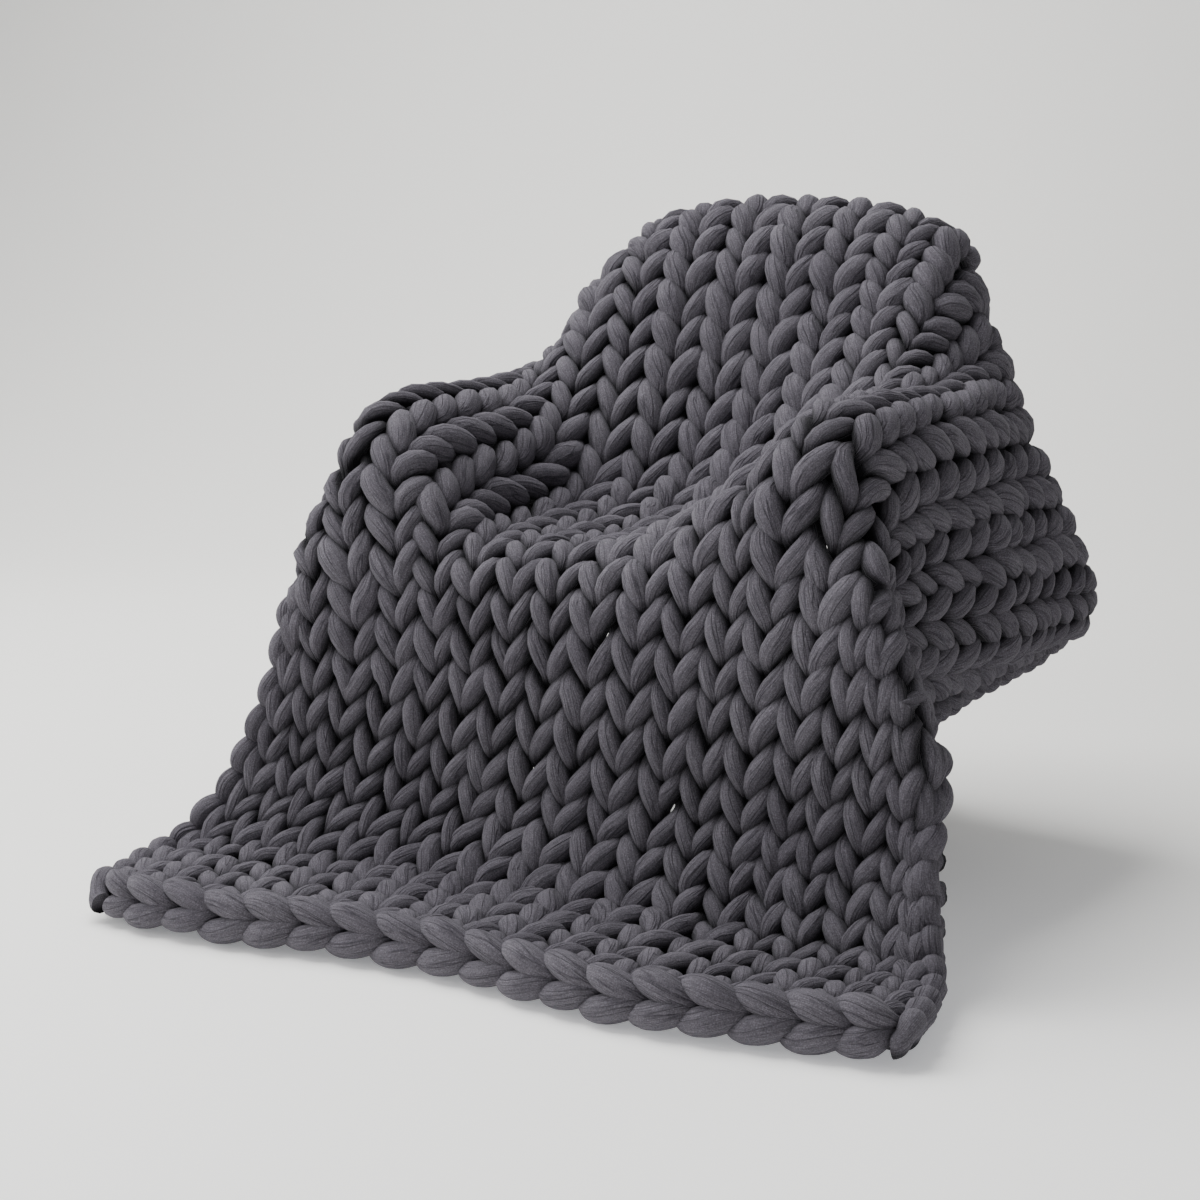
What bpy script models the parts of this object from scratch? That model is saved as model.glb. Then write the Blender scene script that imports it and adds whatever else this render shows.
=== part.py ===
"""Chunky hand-knitted blanket, hanging in the hollow form of a draped armchair.

One knitted sheet, cast on at the front hem and cast off at the back hem.  It is drawn by
its wales, the columns of stitches that run from the front hem to the back hem.  Each wale
line below is a path with one row for each bend or fold, and the sheet is the smooth surface
through all of them.  Every stitch shows two legs, and each leg is raised as a slanted
lozenge.  Metres, +Z up, +X to the sitter's left, +Y to the back.
"""
import math
from collections import namedtuple

import bpy
import numpy as np

# ---------------------------------------------------------------- driving dimensions
WALES_LEFT = 8           # wales from the middle line to the left selvage
WALES_RIGHT = 10         # wales from the middle line to the right selvage
COURSES = 39             # rows of stitches from hem to hem
GROOVE = 0.013           # middle of the cloth to the valleys between the legs
CREST = 0.024            # middle of the cloth to the top of a leg
INSIDE = 0.018           # middle of the cloth to its smooth inner face
HEM_RADIUS = 0.027       # plump cast-on and cast-off chains
LINK_SWELL = 0.003       # each link of the chain swells and draws in by this much
SELVAGE_RADIUS = 0.018   # rounded side edges
RIM_ANGLES = (35.0, -35.0)   # degrees, points round an edge between outer and inner face
V_DIP = 0.5              # stitches: the middle of each V sits this much below its two sides
PROBE = 0.05             # stitches either side of a point, to find which way the cloth runs

# The row's origin: the underside of the cloth at the middle of the top, where the back of a
# chair holds it up, measured from the floor and the middle of the front hem.
MOUNT_BACK = 0.82
MOUNT_UP = 0.774

WOOL = (0.115, 0.105, 0.125, 1.0)
WOOL_ROUGHNESS = 0.92

# ---------------------------------------------------------------- wale lines
# courses: stitches from the front hem.  across: out from the middle line, back: behind the
# front hem, up: above the floor.
Bend = namedtuple("Bend", "courses across back up")

MIDDLE = [
    Bend(0, 0.000, -0.012, 0.030), Bend(1.9, 0.000, 0.075, 0.026),      # flap on the floor
    Bend(3.5, 0.000, 0.152, 0.030), Bend(5.9, 0.000, 0.222, 0.100),     # rising
    Bend(9.5, 0.000, 0.245, 0.260), Bend(12.4, 0.000, 0.275, 0.380),    # front panel
    Bend(13.6, 0.000, 0.325, 0.400), Bend(15.4, 0.000, 0.400, 0.400),   # front of the seat
    Bend(18.9, 0.000, 0.550, 0.425), Bend(21.9, 0.000, 0.650, 0.520),   # seat, turning up
    Bend(24.8, 0.000, 0.720, 0.640), Bend(27.8, 0.000, 0.775, 0.760),   # back
    Bend(29.5, 0.000, 0.820, 0.792), Bend(30.7, 0.000, 0.865, 0.775),   # over the top
    Bend(33.1, 0.000, 0.895, 0.690), Bend(39, 0.000, 0.930, 0.440),     # hanging behind
]
LEFT_LAP = [
    Bend(0, 0.138, -0.012, 0.030), Bend(1.9, 0.143, 0.075, 0.026),
    Bend(3.5, 0.146, 0.152, 0.030), Bend(5.9, 0.145, 0.222, 0.100),
    Bend(9.5, 0.135, 0.244, 0.255), Bend(13, 0.130, 0.276, 0.388),
    Bend(14.5, 0.130, 0.330, 0.405), Bend(16.5, 0.132, 0.412, 0.411),
    Bend(20.1, 0.142, 0.560, 0.452), Bend(23.6, 0.157, 0.675, 0.599),
    Bend(27.2, 0.171, 0.763, 0.740), Bend(29.5, 0.172, 0.814, 0.777),
    Bend(30.7, 0.168, 0.860, 0.763), Bend(33.1, 0.152, 0.895, 0.680),
    Bend(39, 0.040, 0.937, 0.425),
]
RIGHT_LAP = [
    Bend(0, 0.175, -0.012, 0.030), Bend(1.9, 0.184, 0.075, 0.026),
    Bend(3.5, 0.188, 0.152, 0.030), Bend(5.9, 0.188, 0.222, 0.100),
    Bend(9.5, 0.179, 0.241, 0.260), Bend(13, 0.182, 0.276, 0.410),
    Bend(14.6, 0.191, 0.305, 0.474), Bend(16.2, 0.203, 0.368, 0.511),
    Bend(18, 0.209, 0.450, 0.524), Bend(20.1, 0.208, 0.560, 0.538),
    Bend(23.6, 0.206, 0.680, 0.635), Bend(27.2, 0.210, 0.760, 0.731),
    Bend(29.5, 0.210, 0.810, 0.763), Bend(30.7, 0.206, 0.855, 0.750),
    Bend(33.1, 0.186, 0.895, 0.665), Bend(39, 0.050, 0.940, 0.410),
]
LEFT_ARM_TOP = [
    Bend(0, 0.245, -0.012, 0.030), Bend(1.9, 0.255, 0.075, 0.026),
    Bend(3.5, 0.262, 0.152, 0.030), Bend(5.9, 0.262, 0.218, 0.100),
    Bend(9.5, 0.246, 0.240, 0.255), Bend(13, 0.244, 0.268, 0.406),
    Bend(15.4, 0.246, 0.306, 0.496), Bend(16.8, 0.249, 0.350, 0.523),
    Bend(18.9, 0.254, 0.440, 0.535), Bend(22.5, 0.266, 0.600, 0.556),
    Bend(25.4, 0.280, 0.702, 0.606), Bend(27.8, 0.285, 0.780, 0.632),
    Bend(29.5, 0.262, 0.860, 0.608), Bend(31.9, 0.195, 0.905, 0.545),
    Bend(35.5, 0.110, 0.930, 0.450), Bend(39, 0.055, 0.945, 0.350),
]
RIGHT_ARM_TOP = [
    Bend(0, 0.245, -0.012, 0.030), Bend(1.9, 0.255, 0.075, 0.026),
    Bend(3.5, 0.262, 0.152, 0.030), Bend(5.9, 0.262, 0.218, 0.100),
    Bend(9.5, 0.246, 0.239, 0.255), Bend(13, 0.246, 0.268, 0.410),
    Bend(15.2, 0.249, 0.292, 0.510), Bend(16.6, 0.256, 0.336, 0.560),
    Bend(18.9, 0.262, 0.430, 0.575), Bend(22.5, 0.270, 0.590, 0.580),
    Bend(25.4, 0.271, 0.700, 0.604), Bend(27.8, 0.269, 0.780, 0.634),
    Bend(29.5, 0.250, 0.860, 0.615), Bend(31.9, 0.190, 0.905, 0.552),
    Bend(35.5, 0.110, 0.930, 0.450), Bend(39, 0.055, 0.945, 0.350),
]
ARM_EDGE = [
    Bend(0, 0.295, -0.012, 0.030), Bend(1.9, 0.304, 0.074, 0.026),
    Bend(3.5, 0.310, 0.150, 0.030), Bend(5.9, 0.312, 0.215, 0.100),
    Bend(9.5, 0.300, 0.238, 0.255), Bend(13, 0.302, 0.264, 0.408),
    Bend(14.7, 0.308, 0.286, 0.480), Bend(15.8, 0.306, 0.318, 0.532),
    Bend(16.9, 0.309, 0.360, 0.556), Bend(18.9, 0.314, 0.430, 0.566),
    Bend(22.5, 0.316, 0.600, 0.567), Bend(25.4, 0.310, 0.710, 0.574),
    Bend(27.8, 0.297, 0.800, 0.570), Bend(29.5, 0.264, 0.867, 0.555),
    Bend(33.1, 0.160, 0.910, 0.460), Bend(39, 0.055, 0.945, 0.300),
]
SIDE = [
    Bend(0, 0.355, -0.012, 0.030), Bend(1.9, 0.360, 0.073, 0.026),
    Bend(3.5, 0.362, 0.147, 0.030), Bend(5.9, 0.360, 0.212, 0.100),
    Bend(9.5, 0.357, 0.232, 0.255), Bend(11.6, 0.363, 0.240, 0.354),
    Bend(12.8, 0.365, 0.258, 0.404), Bend(14, 0.349, 0.294, 0.438),
    Bend(15.2, 0.331, 0.340, 0.461), Bend(16.6, 0.332, 0.395, 0.477),
    Bend(18.5, 0.342, 0.470, 0.485), Bend(22.5, 0.346, 0.655, 0.485),
    Bend(26, 0.340, 0.800, 0.478), Bend(28.4, 0.296, 0.875, 0.460),
    Bend(30.7, 0.235, 0.910, 0.420), Bend(35.5, 0.130, 0.920, 0.340),
    Bend(39, 0.055, 0.945, 0.250),
]
SIDE_FOOT = [
    Bend(0, 0.480, -0.012, 0.030), Bend(1.9, 0.478, 0.072, 0.026),
    Bend(3.5, 0.478, 0.143, 0.030), Bend(5.9, 0.478, 0.200, 0.100),
    Bend(8.9, 0.448, 0.224, 0.220), Bend(10.8, 0.415, 0.239, 0.308),
    Bend(12.1, 0.382, 0.268, 0.335), Bend(13.4, 0.354, 0.312, 0.342),
    Bend(14.9, 0.364, 0.375, 0.341), Bend(18.3, 0.390, 0.540, 0.332),
    Bend(21.9, 0.394, 0.700, 0.324), Bend(24.8, 0.400, 0.822, 0.316),
    Bend(26.6, 0.360, 0.885, 0.306), Bend(29.5, 0.262, 0.925, 0.285),
    Bend(32.5, 0.180, 0.915, 0.245), Bend(35.5, 0.110, 0.940, 0.195),
    Bend(39, 0.055, 0.950, 0.130),
]
SELVAGE = [
    Bend(0, 0.535, -0.012, 0.030), Bend(1.9, 0.526, 0.070, 0.026),
    Bend(3.5, 0.516, 0.138, 0.030), Bend(5.9, 0.504, 0.190, 0.090),
    Bend(8.3, 0.468, 0.220, 0.172), Bend(10, 0.436, 0.262, 0.236),
    Bend(11.8, 0.380, 0.298, 0.256), Bend(14.2, 0.360, 0.378, 0.263),
    Bend(18.3, 0.356, 0.540, 0.269), Bend(21.9, 0.356, 0.700, 0.271),
    Bend(24.8, 0.360, 0.808, 0.273), Bend(26.6, 0.326, 0.860, 0.269),
    Bend(29.5, 0.248, 0.905, 0.252), Bend(32.5, 0.180, 0.905, 0.204),
    Bend(35.5, 0.110, 0.930, 0.147), Bend(39, 0.055, 0.950, 0.080),
]

# wales: how many wales each line lies to the right of the middle line
WaleLine = namedtuple("WaleLine", "wales bends")
WALE_LINES = [
    WaleLine(-9.0, SIDE_FOOT), WaleLine(-6.5, SIDE), WaleLine(-5.4, ARM_EDGE),
    WaleLine(-4.5, LEFT_ARM_TOP), WaleLine(-2.4, LEFT_LAP), WaleLine(0.0, MIDDLE),
    WaleLine(3.05, RIGHT_LAP), WaleLine(4.35, RIGHT_ARM_TOP), WaleLine(5.25, ARM_EDGE),
    WaleLine(6.4, SIDE), WaleLine(8.8, SIDE_FOOT), WaleLine(10.0, SELVAGE),
]

# The cloth lies uneven: each side's lines shift across by this much at these courses.
Drift = namedtuple("Drift", "courses left right")
DRIFTS = [
    Drift(0, -0.024, -0.020), Drift(2.4, -0.058, -0.028), Drift(3.5, -0.064, -0.028),
    Drift(4.7, -0.046, -0.036), Drift(5.9, -0.018, -0.040), Drift(9.5, 0.016, -0.010),
    Drift(11.8, 0.010, 0.000), Drift(13.2, -0.008, 0.000), Drift(14.6, -0.026, 0.000),
    Drift(16.5, -0.032, 0.000), Drift(20.1, -0.014, 0.000), Drift(24.8, -0.014, -0.010),
    Drift(31.9, -0.006, -0.012), Drift(39, 0.000, 0.000),
]
DRIFT_WALES = 4.5        # a line this far from the middle has its side's whole shift

# The front hem wanders forward and back as it lies on the floor.
HEM_WAVE = 0.018
HEM_WAVE_LENGTH = 0.60
HEM_WAVE_PHASE = 0.10
HEM_WAVE_COURSES = 3.5


# ---------------------------------------------------------------- smooth paths
def hermite(knots, values, slopes, at):
    """Cubic through values[i] at knots[i] with the given slopes."""
    piece = np.clip(np.searchsorted(knots, at, side="right") - 1, 0, len(knots) - 2)
    span = (knots[piece + 1] - knots[piece])[:, None]
    t = ((at - knots[piece])[:, None]) / span
    return ((2 * t**3 - 3 * t**2 + 1) * values[piece]
            + (t**3 - 2 * t**2 + t) * span * slopes[piece]
            + (3 * t**2 - 2 * t**3) * values[piece + 1]
            + (t**3 - t**2) * span * slopes[piece + 1])


def soft_slopes(knots, values):
    """Slopes for a path that bends softly, like rope."""
    gaps = np.diff(knots)[:, None]
    steps = np.diff(values, axis=0) / gaps
    slopes = np.empty_like(values)
    slopes[1:-1] = (gaps[1:] * steps[:-1] + gaps[:-1] * steps[1:]) / (gaps[:-1] + gaps[1:])
    slopes[0] = 1.5 * steps[0] - 0.5 * slopes[1]
    slopes[-1] = 1.5 * steps[-1] - 0.5 * slopes[-2]
    return slopes


def taut_slopes(knots, values):
    """Slopes for cloth that spans from line to line and never bulges past them."""
    gaps = np.diff(knots)[:, None]
    steps = np.diff(values, axis=0) / gaps
    slopes = np.zeros_like(values)
    before, after = steps[:-1], steps[1:]
    weight_before = 2 * gaps[1:] + gaps[:-1]
    weight_after = gaps[1:] + 2 * gaps[:-1]
    same_way = before * after > 0
    safe_before = np.where(same_way, before, 1.0)
    safe_after = np.where(same_way, after, 1.0)
    mean = (weight_before + weight_after) / (weight_before / safe_before + weight_after / safe_after)
    slopes[1:-1] = np.where(same_way, mean, 0.0)
    slopes[0] = steps[0]
    slopes[-1] = steps[-1]
    return slopes


def wale_path(line, courses):
    """Points of one wale line at the given courses."""
    side = -1 if line.wales < 0 else 1
    rows = np.array(line.bends, dtype=float)
    points = hermite(rows[:, 0], rows[:, 1:], soft_slopes(rows[:, 0], rows[:, 1:]), courses)
    points[:, 0] *= side
    drift = np.array(DRIFTS, dtype=float)
    left = np.interp(courses, drift[:, 0], drift[:, 1])
    right = np.interp(courses, drift[:, 0], drift[:, 2])
    toward_right = 0.5 + 0.5 * side * min(abs(line.wales) / DRIFT_WALES, 1.0)
    points[:, 0] += left + (right - left) * toward_right
    turn = 2 * math.pi * (points[:, 0] - HEM_WAVE_PHASE) / HEM_WAVE_LENGTH
    points[:, 1] -= HEM_WAVE * np.sin(turn) * np.clip(1 - courses / HEM_WAVE_COURSES, 0, 1)
    return points


def drape(wales, courses):
    """Middle surface of the cloth at paired arrays of wales (from the middle) and courses."""
    knots = np.array([line.wales for line in WALE_LINES])
    levels, where = np.unique(courses, return_inverse=True)
    paths = np.array([wale_path(line, levels) for line in WALE_LINES])
    points = np.empty((len(wales), 3))
    for level in range(len(levels)):
        here = np.nonzero(where.ravel() == level)[0]
        section = paths[:, level]
        points[here] = hermite(knots, section, taut_slopes(knots, section), wales[here])
    points[:, 1] -= MOUNT_BACK
    points[:, 2] -= MOUNT_UP
    return points


def frame_at(wales, courses):
    """Middle points, unit normals, and unit directions across and along the cloth."""
    left, right = -float(WALES_LEFT), float(WALES_RIGHT)
    before_u, after_u = np.clip(wales - PROBE, left, right), np.clip(wales + PROBE, left, right)
    before_v, after_v = np.clip(courses - PROBE, 0, COURSES), np.clip(courses + PROBE, 0, COURSES)
    across = drape(after_u, courses) - drape(before_u, courses)
    along = drape(wales, after_v) - drape(wales, before_v)
    across /= np.linalg.norm(across, axis=1, keepdims=True)
    along /= np.linalg.norm(along, axis=1, keepdims=True)
    normal = np.cross(across, along)
    normal /= np.linalg.norm(normal, axis=1, keepdims=True)
    return drape(wales, courses), normal, across, along


# ---------------------------------------------------------------- the knitted sheet
HALVES = 2 * (WALES_LEFT + WALES_RIGHT)      # half wales across: one for each leg


def grid_place(half, row):
    """Wale and course of a grid corner."""
    dips = half % 2 == 1 and 0 < row < COURSES
    return half / 2 - WALES_LEFT, row - (V_DIP if dips else 0.0)


def corner_places():
    """Places of all grid corners, hem to hem."""
    places = [grid_place(half, row) for row in range(COURSES + 1) for half in range(HALVES + 1)]
    return np.array(places)


def leg_places():
    """Places of the middle of every leg."""
    places = []
    for row in range(COURSES):
        for half in range(HALVES):
            corners = [grid_place(half + i, row + j) for i in (0, 1) for j in (0, 1)]
            places.append(np.mean(corners, axis=0))
    return np.array(places)


def rim_loop():
    """Grid corners round the edge, walked with the outer face on the left."""
    front = [(half, 0) for half in range(HALVES)]
    right = [(HALVES, row) for row in range(COURSES)]
    back = [(half, COURSES) for half in range(HALVES, 0, -1)]
    left = [(0, row) for row in range(COURSES, 0, -1)]
    return front + right + back + left


def rim_radius(half, row):
    """Radius of the edge: linked chain on the hems, plain round on the selvages."""
    if row in (0, COURSES):
        return HEM_RADIUS + (LINK_SWELL if half % 2 else -LINK_SWELL)
    return SELVAGE_RADIUS


def outward(half, row, across, along):
    """Direction that leads off the cloth at an edge corner."""
    way = np.zeros(3)
    if half == 0:
        way -= across
    if half == HALVES:
        way += across
    if row == 0:
        way -= along
    if row == COURSES:
        way += along
    return way / np.linalg.norm(way)


def knitted_sheet():
    """Vertices and faces of the sheet: stitched outside, smooth inside, rounded edge."""
    corners = corner_places()
    middle, normal, across, along = frame_at(corners[:, 0], corners[:, 1])
    loop = rim_loop()
    edge = {place: rim_radius(*place) for place in loop}
    lift = np.full(len(corners), GROOVE)
    drop = np.full(len(corners), INSIDE)
    for (half, row), radius in edge.items():
        index = row * (HALVES + 1) + half
        lift[index] = radius
        drop[index] = radius
    legs = leg_places()
    leg_middle, leg_normal, _, _ = frame_at(legs[:, 0], legs[:, 1])
    outer = middle + normal * lift[:, None]
    crests = leg_middle + leg_normal * CREST
    inner = middle - normal * drop[:, None]
    rims = []
    for angle in RIM_ANGLES:
        rise, reach = math.sin(math.radians(angle)), math.cos(math.radians(angle))
        for half, row in loop:
            index = row * (HALVES + 1) + half
            way = outward(half, row, across[index], along[index])
            rims.append(middle[index] + edge[(half, row)] * (rise * normal[index] + reach * way))
    points = np.vstack([outer, crests, inner, np.array(rims)])

    first_crest = len(outer)
    first_inner = first_crest + len(crests)
    first_rim = first_inner + len(inner)
    faces = []
    for row in range(COURSES):
        for half in range(HALVES):
            near = row * (HALVES + 1) + half
            far = near + HALVES + 1
            ring = [near, near + 1, far + 1, far]
            crest = first_crest + row * HALVES + half
            faces += [(ring[i], ring[(i + 1) % 4], crest) for i in range(4)]
            low = [first_inner + corner for corner in ring]
            faces += [(low[0], low[2], low[1]), (low[0], low[3], low[2])]
    steps = [[row * (HALVES + 1) + half for half, row in loop]]
    for ring_number in range(len(RIM_ANGLES)):
        start = first_rim + ring_number * len(loop)
        steps.append(list(range(start, start + len(loop))))
    steps.append([first_inner + corner for corner in steps[0]])
    for upper, lower in zip(steps[:-1], steps[1:]):
        for here in range(len(loop)):
            after = (here + 1) % len(loop)
            faces.append((upper[here], lower[here], lower[after]))
            faces.append((upper[here], lower[after], upper[after]))
    return points, faces


# ---------------------------------------------------------------- Blender objects
def clear_scene():
    for thing in list(bpy.data.objects):
        bpy.data.objects.remove(thing, do_unlink=True)


def wool_material():
    material = bpy.data.materials.new("wool")
    material.use_nodes = True
    shader = material.node_tree.nodes["Principled BSDF"]
    shader.inputs["Base Color"].default_value = WOOL
    shader.inputs["Roughness"].default_value = WOOL_ROUGHNESS
    shader.inputs["Metallic"].default_value = 0.0
    return material


def make_blanket():
    points, faces = knitted_sheet()
    mesh = bpy.data.meshes.new("blanket")
    mesh.from_pydata(points.tolist(), [], faces)
    mesh.materials.append(wool_material())
    mesh.shade_smooth()
    blanket = bpy.data.objects.new("blanket", mesh)
    bpy.context.scene.collection.objects.link(blanket)
    return blanket


clear_scene()
make_blanket()
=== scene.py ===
"""Looks of the chunky knit blanket: the roving yarn itself, stitch by stitch.

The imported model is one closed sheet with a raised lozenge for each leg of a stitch.  Here
each course is a thick yarn that winds from stitch to stitch along the same wale lines, so
every leg, head and foot of every loop is there.  Both hems are chains of linked loops.
Metres, +Z up, in the row's frame.
"""
import math
from collections import namedtuple

import bpy
import numpy as np
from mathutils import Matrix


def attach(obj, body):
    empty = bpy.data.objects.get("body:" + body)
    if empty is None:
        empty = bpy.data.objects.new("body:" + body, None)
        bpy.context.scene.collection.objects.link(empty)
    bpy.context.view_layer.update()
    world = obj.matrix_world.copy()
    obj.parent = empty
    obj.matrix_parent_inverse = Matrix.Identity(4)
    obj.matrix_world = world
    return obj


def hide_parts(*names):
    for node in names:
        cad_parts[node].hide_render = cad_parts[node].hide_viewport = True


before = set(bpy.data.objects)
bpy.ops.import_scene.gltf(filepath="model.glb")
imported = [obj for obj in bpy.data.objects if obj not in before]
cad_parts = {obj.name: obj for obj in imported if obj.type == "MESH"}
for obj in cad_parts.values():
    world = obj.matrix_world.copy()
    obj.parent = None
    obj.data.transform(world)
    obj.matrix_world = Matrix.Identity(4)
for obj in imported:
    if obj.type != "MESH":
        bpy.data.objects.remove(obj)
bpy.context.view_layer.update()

# ---------------------------------------------------------------- driving dimensions
WALES_LEFT = 8           # wales from the middle line to the left selvage
WALES_RIGHT = 10         # wales from the middle line to the right selvage
WALES = WALES_LEFT + WALES_RIGHT
COURSES = 39             # rows of stitches from hem to hem
GAUGE = 0.060            # usual width of one wale

# The row's origin, measured from the floor and the middle of the front hem.
MOUNT_BACK = 0.82
MOUNT_UP = 0.774

# Yarn: a loop swings up and down by LOOP_RISE courses, its legs lean so that the V's open
# upward by LOOP_LEAN wales, and it passes in front of and behind the cloth's middle.
LOOP_RISE = 0.93
LOOP_LEAN = 0.295
LOOP_DEPTH = 0.0100
YARN_RADIUS = 0.0112     # where the yarn dives between front and back
LEG_SWELL = 0.0056       # fatter at the middle of a leg, thinner at a hidden head or foot
BACK_FILL = 0.0048       # a hidden head or foot is fluffed out by this much
SWELL_LIMITS = (0.86, 1.18)    # yarn swells where the cloth is pulled wide

# Mesh of the yarn
STEPS_PER_STITCH = 28    # rings along a stitch or a turn; a link of the chain has twice as many
SIDES = 18               # corners of a ring

# ---------------------------------------------------------------- wale lines
# courses: stitches from the front hem.  across: out from the middle line, back: behind the
# front hem, up: above the floor.
Bend = namedtuple("Bend", "courses across back up")

MIDDLE = [
    Bend(0, 0.000, -0.012, 0.030), Bend(1.9, 0.000, 0.075, 0.026),      # flap on the floor
    Bend(3.5, 0.000, 0.152, 0.030), Bend(5.9, 0.000, 0.222, 0.100),     # rising
    Bend(9.5, 0.000, 0.245, 0.260), Bend(12.4, 0.000, 0.275, 0.380),    # front panel
    Bend(13.6, 0.000, 0.325, 0.400), Bend(15.4, 0.000, 0.400, 0.400),   # front of the seat
    Bend(18.9, 0.000, 0.550, 0.425), Bend(21.9, 0.000, 0.650, 0.520),   # seat, turning up
    Bend(24.8, 0.000, 0.720, 0.640), Bend(27.8, 0.000, 0.775, 0.760),   # back
    Bend(29.5, 0.000, 0.820, 0.792), Bend(30.7, 0.000, 0.865, 0.775),   # over the top
    Bend(33.1, 0.000, 0.895, 0.690), Bend(39, 0.000, 0.930, 0.440),     # hanging behind
]
LEFT_LAP = [
    Bend(0, 0.138, -0.012, 0.030), Bend(1.9, 0.143, 0.075, 0.026),
    Bend(3.5, 0.146, 0.152, 0.030), Bend(5.9, 0.145, 0.222, 0.100),
    Bend(9.5, 0.135, 0.244, 0.255), Bend(13, 0.130, 0.276, 0.388),
    Bend(14.5, 0.130, 0.330, 0.405), Bend(16.5, 0.132, 0.412, 0.411),
    Bend(20.1, 0.142, 0.560, 0.452), Bend(23.6, 0.157, 0.675, 0.599),
    Bend(27.2, 0.171, 0.763, 0.740), Bend(29.5, 0.172, 0.814, 0.777),
    Bend(30.7, 0.168, 0.860, 0.763), Bend(33.1, 0.152, 0.895, 0.680),
    Bend(39, 0.040, 0.937, 0.425),
]
RIGHT_LAP = [
    Bend(0, 0.175, -0.012, 0.030), Bend(1.9, 0.184, 0.075, 0.026),
    Bend(3.5, 0.188, 0.152, 0.030), Bend(5.9, 0.188, 0.222, 0.100),
    Bend(9.5, 0.179, 0.241, 0.260), Bend(13, 0.182, 0.276, 0.410),
    Bend(14.6, 0.191, 0.305, 0.474), Bend(16.2, 0.203, 0.368, 0.511),
    Bend(18, 0.209, 0.450, 0.524), Bend(20.1, 0.208, 0.560, 0.538),
    Bend(23.6, 0.206, 0.680, 0.635), Bend(27.2, 0.210, 0.760, 0.731),
    Bend(29.5, 0.210, 0.810, 0.763), Bend(30.7, 0.206, 0.855, 0.750),
    Bend(33.1, 0.186, 0.895, 0.665), Bend(39, 0.050, 0.940, 0.410),
]
LEFT_ARM_TOP = [
    Bend(0, 0.245, -0.012, 0.030), Bend(1.9, 0.255, 0.075, 0.026),
    Bend(3.5, 0.262, 0.152, 0.030), Bend(5.9, 0.262, 0.218, 0.100),
    Bend(9.5, 0.246, 0.240, 0.255), Bend(13, 0.244, 0.268, 0.406),
    Bend(15.4, 0.246, 0.306, 0.496), Bend(16.8, 0.249, 0.350, 0.523),
    Bend(18.9, 0.254, 0.440, 0.535), Bend(22.5, 0.266, 0.600, 0.556),
    Bend(25.4, 0.280, 0.702, 0.606), Bend(27.8, 0.285, 0.780, 0.632),
    Bend(29.5, 0.262, 0.860, 0.608), Bend(31.9, 0.195, 0.905, 0.545),
    Bend(35.5, 0.110, 0.930, 0.450), Bend(39, 0.055, 0.945, 0.350),
]
RIGHT_ARM_TOP = [
    Bend(0, 0.245, -0.012, 0.030), Bend(1.9, 0.255, 0.075, 0.026),
    Bend(3.5, 0.262, 0.152, 0.030), Bend(5.9, 0.262, 0.218, 0.100),
    Bend(9.5, 0.246, 0.239, 0.255), Bend(13, 0.246, 0.268, 0.410),
    Bend(15.2, 0.249, 0.292, 0.510), Bend(16.6, 0.256, 0.336, 0.560),
    Bend(18.9, 0.262, 0.430, 0.575), Bend(22.5, 0.270, 0.590, 0.580),
    Bend(25.4, 0.271, 0.700, 0.604), Bend(27.8, 0.269, 0.780, 0.634),
    Bend(29.5, 0.250, 0.860, 0.615), Bend(31.9, 0.190, 0.905, 0.552),
    Bend(35.5, 0.110, 0.930, 0.450), Bend(39, 0.055, 0.945, 0.350),
]
ARM_EDGE = [
    Bend(0, 0.295, -0.012, 0.030), Bend(1.9, 0.304, 0.074, 0.026),
    Bend(3.5, 0.310, 0.150, 0.030), Bend(5.9, 0.312, 0.215, 0.100),
    Bend(9.5, 0.300, 0.238, 0.255), Bend(13, 0.302, 0.264, 0.408),
    Bend(14.7, 0.308, 0.286, 0.480), Bend(15.8, 0.306, 0.318, 0.532),
    Bend(16.9, 0.309, 0.360, 0.556), Bend(18.9, 0.314, 0.430, 0.566),
    Bend(22.5, 0.316, 0.600, 0.567), Bend(25.4, 0.310, 0.710, 0.574),
    Bend(27.8, 0.297, 0.800, 0.570), Bend(29.5, 0.264, 0.867, 0.555),
    Bend(33.1, 0.160, 0.910, 0.460), Bend(39, 0.055, 0.945, 0.300),
]
SIDE = [
    Bend(0, 0.355, -0.012, 0.030), Bend(1.9, 0.360, 0.073, 0.026),
    Bend(3.5, 0.362, 0.147, 0.030), Bend(5.9, 0.360, 0.212, 0.100),
    Bend(9.5, 0.357, 0.232, 0.255), Bend(11.6, 0.363, 0.240, 0.354),
    Bend(12.8, 0.365, 0.258, 0.404), Bend(14, 0.349, 0.294, 0.438),
    Bend(15.2, 0.331, 0.340, 0.461), Bend(16.6, 0.332, 0.395, 0.477),
    Bend(18.5, 0.342, 0.470, 0.485), Bend(22.5, 0.346, 0.655, 0.485),
    Bend(26, 0.340, 0.800, 0.478), Bend(28.4, 0.296, 0.875, 0.460),
    Bend(30.7, 0.235, 0.910, 0.420), Bend(35.5, 0.130, 0.920, 0.340),
    Bend(39, 0.055, 0.945, 0.250),
]
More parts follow.
